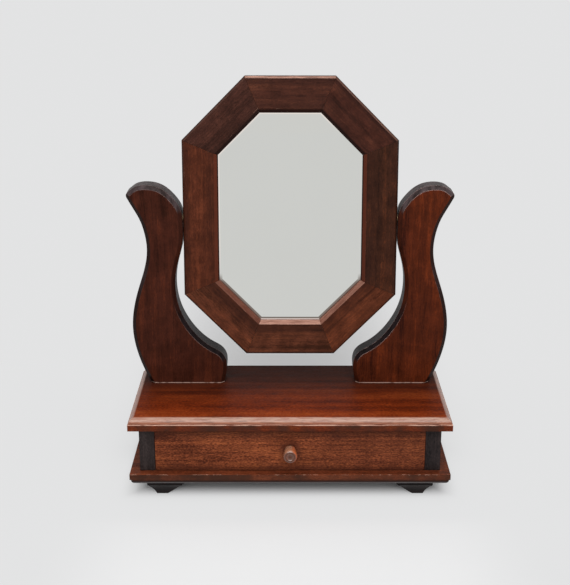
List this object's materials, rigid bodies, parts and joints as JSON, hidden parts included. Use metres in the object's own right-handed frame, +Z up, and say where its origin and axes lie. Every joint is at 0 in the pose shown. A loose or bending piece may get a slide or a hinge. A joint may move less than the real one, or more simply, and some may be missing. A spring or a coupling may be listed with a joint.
{
  "type": "vanity mirror with drawer",
  "caption": "Table-top swing mirror: an octagonal framed glass between two serpentine standards on a moulded box with one full-width drawer and ogee feet.",
  "frame": {"origin": "on the table, under the middle of the whole object's box", "axes": "+X to the viewer's right along the drawer front, +Y to the back, +Z up"},
  "size_m": [0.412, 0.1818, 0.5157],
  "materials": {
    "board_mahogany": "stained and polished",
    "frame_mahogany": "stained and polished",
    "standard_mahogany": "stained and polished, ebonised edges",
    "drawer_mahogany": "stained and polished",
    "ebonised_wood": "ebonised, satin",
    "plain_softwood": "planed, unpolished",
    "silvered_glass": "silvered",
    "pivot_brass": "aged",
    "screw_steel": "dull"
  },
  "bodies": {
    "base": {"top_board": "board_mahogany", "bottom_board": "board_mahogany", "side_panel_left": "board_mahogany", "side_panel_right": "board_mahogany", "post_left": "ebonised_wood", "post_right": "ebonised_wood", "back_panel": "plain_softwood", "back_panel_pins": "screw_steel", "carcass_dowels": "plain_softwood", "drawer_stops": "plain_softwood", "foot_front_left": "ebonised_wood", "foot_front_right": "ebonised_wood", "foot_back_left": "ebonised_wood", "foot_back_right": "ebonised_wood", "foot_screws": "screw_steel", "standard_left": "standard_mahogany", "standard_right": "standard_mahogany", "standard_screws": "screw_steel"},
    "drawer": {"drawer_front": "drawer_mahogany", "drawer_side_left": "plain_softwood", "drawer_side_right": "plain_softwood", "drawer_back": "plain_softwood", "drawer_floor": "plain_softwood", "drawer_pins": "screw_steel", "drawer_knob": "drawer_mahogany", "knob_screw": "screw_steel"},
    "mirror": {"frame_top": "frame_mahogany", "frame_top_right": "frame_mahogany", "frame_right": "frame_mahogany", "frame_bottom_right": "frame_mahogany", "frame_bottom": "frame_mahogany", "frame_bottom_left": "frame_mahogany", "frame_left": "frame_mahogany", "frame_top_left": "frame_mahogany", "mitre_splines": "plain_softwood", "mirror_glass": "silvered_glass", "backing_board": "plain_softwood", "backing_sprigs": "screw_steel", "pivot_pin_left": "pivot_brass", "pivot_pin_right": "pivot_brass", "pivot_washer_left": "pivot_brass", "pivot_washer_right": "pivot_brass"}
  },
  "joints": [
    {"name": "drawer_slide", "type": "slide", "parent": "base", "child": "drawer", "axis": [0, -1, 0], "range_m": [0, 0.115]},
    {"name": "mirror_tilt", "type": "hinge", "parent": "base", "child": "mirror", "pos_m": [0, 0.04365, 0.3384], "axis": [1, 0, 0], "continuous": true}
  ]
}
